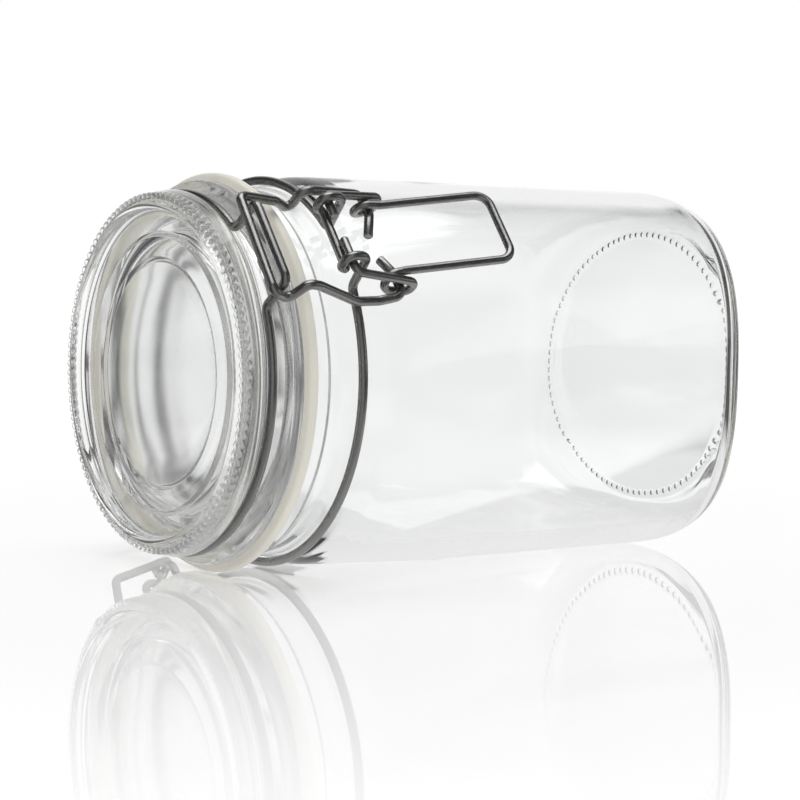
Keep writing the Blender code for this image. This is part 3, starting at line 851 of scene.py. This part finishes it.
def build_camera(studio):
    """Camera at the measured place: heading, pitch and roll turn it from level."""
    forward = Vector((
        math.sin(CAMERA_HEADING) * math.cos(CAMERA_PITCH),
        math.cos(CAMERA_HEADING) * math.cos(CAMERA_PITCH),
        math.sin(CAMERA_PITCH),
    ))
    right = forward.cross(Vector((0.0, 0.0, 1.0))).normalized()
    upward = right.cross(forward)
    rolled_right = math.cos(CAMERA_ROLL) * right + math.sin(CAMERA_ROLL) * upward
    rolled_up = math.cos(CAMERA_ROLL) * upward - math.sin(CAMERA_ROLL) * right
    data = bpy.data.cameras.new("studio_camera")
    data.lens = studio.lens
    data.sensor_width = 36.0
    data.clip_start = 0.01
    data.clip_end = 50.0
    camera = bpy.data.objects.new("studio_camera", data)
    bpy.context.collection.objects.link(camera)
    at = Vector((CENTRE[0] * MM, CENTRE[1] * MM, 0.0)) + Vector(CAMERA_OFFSET)
    turn = Matrix((rolled_right, rolled_up, -forward)).transposed().to_4x4()
    camera.matrix_world = Matrix.Translation(at) @ turn
    bpy.context.scene.camera = camera


def finish_piece(mesh, skin, body, node):
    """Puts a mesh in the scene in place of its plain node, on its body and with its finish."""
    mesh.materials.append(skin)
    piece = bpy.data.objects.new(mesh.name, mesh)
    bpy.context.collection.objects.link(piece)
    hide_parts(node)
    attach(piece, body)
    return piece


class JarShape(PropertyGroup):
    """Sizes of the fine detail that the glass carries."""

    bead_count: IntProperty(
        name="Beads", description="Beads round the lid's rim", default=116, min=24, max=160)
    bead_height: FloatProperty(
        name="Bead Height", description="How far the beads stand above the rim",
        default=0.00095, min=0.0, max=0.001, unit="LENGTH", subtype="DISTANCE", precision=5)
    knurl_count: IntProperty(
        name="Knurls", description="Ribs round the ring that the upright jar stands on",
        default=92, min=24, max=100)
    knurl_depth: FloatProperty(
        name="Knurl Depth", description="Depth of the valleys between the base's ribs",
        default=0.0005, min=0.0, max=0.001, unit="LENGTH", subtype="DISTANCE", precision=5)
    inner_wave: FloatProperty(
        name="Inner Wave", description="How far the blown inner wall wanders",
        default=0.00014, min=0.0, max=0.001, unit="LENGTH", subtype="DISTANCE", precision=5)
    ring_wire: FloatProperty(
        name="Ring Wire", description="Diameter of the lid wire and the neck wire",
        default=0.0022, min=0.001, max=0.003, unit="LENGTH", subtype="DISTANCE", precision=5)
    link_wire: FloatProperty(
        name="Link Wire", description="Diameter of the link's wire",
        default=0.0023, min=0.001, max=0.003, unit="LENGTH", subtype="DISTANCE", precision=5)
    lever_wire: FloatProperty(
        name="Lever Wire", description="Diameter of the lever's wire",
        default=0.0021, min=0.001, max=0.003, unit="LENGTH", subtype="DISTANCE", precision=5)


class JarFinish(PropertyGroup):
    """Colours and surface values."""

    glass_colour: FloatVectorProperty(
        name="Glass", description="Tint of the glass", subtype="COLOR", size=3,
        default=(0.975, 0.982, 0.978), min=0.0, max=1.0)
    glass_ior: FloatProperty(
        name="Glass IOR", description="Index of refraction of the glass", default=1.5, min=1.3, max=1.8)
    moulded_roughness: FloatProperty(
        name="Moulded Skin", description="Roughness of the lid's underside, as the mould leaves it",
        default=0.13, min=0.0, max=1.0, subtype="FACTOR")
    rubber_colour: FloatVectorProperty(
        name="Rubber", description="Colour of the gasket", subtype="COLOR", size=3,
        default=(0.80, 0.775, 0.69), min=0.0, max=1.0)
    steel_colour: FloatVectorProperty(
        name="Steel", description="Colour of the wires", subtype="COLOR", size=3,
        default=(0.30, 0.30, 0.295), min=0.0, max=1.0)
    steel_roughness: FloatProperty(
        name="Steel Roughness", description="Roughness of the wires where they shine most",
        default=0.22, min=0.05, max=0.8, subtype="FACTOR")
    floor_white: FloatProperty(
        name="Floor White", description="How much light the floor sends back",
        default=0.86, min=0.1, max=1.0, subtype="FACTOR")
    floor_glow: FloatProperty(
        name="Floor Glow", description="Light from below the floor at the jar",
        default=0.19, min=0.0, max=2.0)
    floor_far_glow: FloatProperty(
        name="Far Floor Glow", description="Light from below the floor away from the jar",
        default=0.255, min=0.0, max=2.0)
    floor_in_glass: FloatProperty(
        name="Floor in Glass", description="Brightness of the floor behind the jar, as the glass shows it",
        default=1.04, min=0.0, max=2.0)
    floor_patch: FloatProperty(
        name="Floor Patches", description="Brightness of the two patches of floor, as the glass shows them",
        default=0.82, min=0.0, max=2.0)
    floor_dark: FloatProperty(
        name="Dark Floor", description="Brightness of the rest of the floor, as the glass shows it",
        default=0.08, min=0.0, max=2.0)


class JarStudio(PropertyGroup):
    """Camera and light."""

    lens: FloatProperty(
        name="Lens", description="Focal length in millimetres on a 36 mm sensor",
        default=112.5, min=20.0, max=300.0)
    field_light: FloatProperty(
        name="Bright Field", description="Brightness of the wall behind the jar",
        default=0.97, min=0.0, max=5.0)
    field_edge: FloatVectorProperty(
        name="Field Edge", description="Forward share of a direction where a wall starts and is full",
        size=2, default=(0.80, 0.92), min=-1.0, max=1.0)
    strip_light: FloatProperty(
        name="Side Strips", description="Brightness of the soft strips beside the jar",
        default=0.55, min=0.0, max=20.0)
    strip_edge: FloatVectorProperty(
        name="Strip Edge", description="Sideways share of a direction where a strip starts and is full",
        size=2, default=(0.90, 0.96), min=0.0, max=1.0)
    box_light: FloatProperty(
        name="Soft Box", description="Brightness of the soft box overhead", default=2.6, min=0.0, max=20.0)
    box_edge: FloatVectorProperty(
        name="Box Edge", description="Upward share of a direction where the soft box starts and is full",
        size=2, default=(0.86, 0.93), min=0.0, max=1.0)
    dark_light: FloatProperty(
        name="Flags", description="Brightness of what is dark", default=0.07, min=0.0, max=1.0)
    even_light: FloatProperty(
        name="Even Light", description="Light from all sides on matt surfaces",
        default=0.35, min=0.0, max=5.0)


class JAR_OT_glass_body(Operator):
    """Make the glass body with its wavy inner wall and the ribbed ring of its base"""

    bl_idname = "jar.glass_body"
    bl_label = "Glass Body"

    def execute(self, context):
        scene = context.scene
        mesh = body_mesh(scene.jar_shape)
        skin = glass_material("body_glass", scene.jar_finish, BODY_RELIEF)
        finish_piece(mesh, skin, "jar", "glass_body")
        return {"FINISHED"}


class JAR_OT_glass_lid(Operator):
    """Make the glass lid with its beaded rim"""

    bl_idname = "jar.glass_lid"
    bl_label = "Glass Lid"

    def execute(self, context):
        scene = context.scene
        mesh = lid_mesh(scene.jar_shape)
        skin = glass_material("lid_glass", scene.jar_finish, LID_RELIEF, UNDERSIDE_REACH * MM)
        finish_piece(mesh, skin, "lid", "glass_lid")
        return {"FINISHED"}


class JAR_OT_gasket(Operator):
    """Make the rubber gasket between body and lid"""

    bl_idname = "jar.gasket"
    bl_label = "Gasket"

    def execute(self, context):
        skin = rubber_material("gasket_rubber", context.scene.jar_finish)
        finish_piece(gasket_mesh(), skin, "lid", "gasket")
        return {"FINISHED"}


class JAR_OT_wires(Operator):
    """Make the four bent wires: lid wire, neck wire, link and lever"""

    bl_idname = "jar.wires"
    bl_label = "Wires"

    def execute(self, context):
        shape = context.scene.jar_shape
        skin = steel_material("wire_steel", context.scene.jar_finish)
        wires = (
            ("wire_of_lid", lid_wire_path(), shape.ring_wire, True, "lid", "lid_wire"),
            ("wire_of_neck", neck_wire_path(), shape.ring_wire, False, "jar", "neck_wire"),
            ("wire_of_link", link_wire_path(), shape.link_wire, False, "link", "link_wire"),
            ("wire_of_lever", lever_wire_path(), shape.lever_wire, False, "lever", "lever_wire"),
        )
        for name, path, diameter, closed, body, node in wires:
            mesh = wire_mesh(name, path, diameter / MM, closed)
            finish_piece(mesh, skin, body, node)
        return {"FINISHED"}


class JAR_OT_stage(Operator):
    """Make the white floor, the studio's light and the camera"""

    bl_idname = "jar.stage"
    bl_label = "Stage"

    def execute(self, context):
        scene = context.scene
        mesh = bpy.data.meshes.new("studio_floor")
        signs = ((-1.0, -1.0), (1.0, -1.0), (1.0, 1.0), (-1.0, 1.0))
        mesh.from_pydata([(x * FLOOR_REACH, y * FLOOR_REACH, 0.0) for x, y in signs], [], [(0, 1, 2, 3)])
        mesh.materials.append(floor_material(scene.jar_finish))
        floor = bpy.data.objects.new("studio_floor", mesh)
        context.collection.objects.link(floor)
        build_world(scene.jar_studio)
        build_camera(scene.jar_studio)
        scene.view_settings.view_transform = "Standard"
        scene.cycles.max_bounces = 32
        scene.cycles.transmission_bounces = 24
        scene.cycles.glossy_bounces = 16
        scene.cycles.transparent_max_bounces = 24
        return {"FINISHED"}


class JAR_PT_panel(Panel):
    """Sizes, finishes and steps of the jar"""

    bl_idname = "JAR_PT_panel"
    bl_label = "Clip Top Jar"
    bl_space_type = "VIEW_3D"
    bl_region_type = "UI"
    bl_category = "Jar"

    def draw(self, context):
        scene = context.scene
        for settings in (scene.jar_shape, scene.jar_finish, scene.jar_studio):
            box = self.layout.box()
            for name in settings.__annotations__:
                box.prop(settings, name)
        for operator in OPERATORS:
            self.layout.operator(operator.bl_idname)


OPERATORS = (JAR_OT_glass_body, JAR_OT_glass_lid, JAR_OT_gasket, JAR_OT_wires, JAR_OT_stage)
CLASSES = (JarShape, JarFinish, JarStudio, *OPERATORS, JAR_PT_panel)


def register():
    for made in CLASSES:
        bpy.utils.register_class(made)
    bpy.types.Scene.jar_shape = PointerProperty(type=JarShape)
    bpy.types.Scene.jar_finish = PointerProperty(type=JarFinish)
    bpy.types.Scene.jar_studio = PointerProperty(type=JarStudio)


def unregister():
    del bpy.types.Scene.jar_shape
    del bpy.types.Scene.jar_finish
    del bpy.types.Scene.jar_studio
    for made in reversed(CLASSES):
        bpy.utils.unregister_class(made)


def main():
    register()
    bpy.ops.jar.glass_body()
    bpy.ops.jar.glass_lid()
    bpy.ops.jar.gasket()
    bpy.ops.jar.wires()
    bpy.ops.jar.stage()


if __name__ == "__main__":
    main()
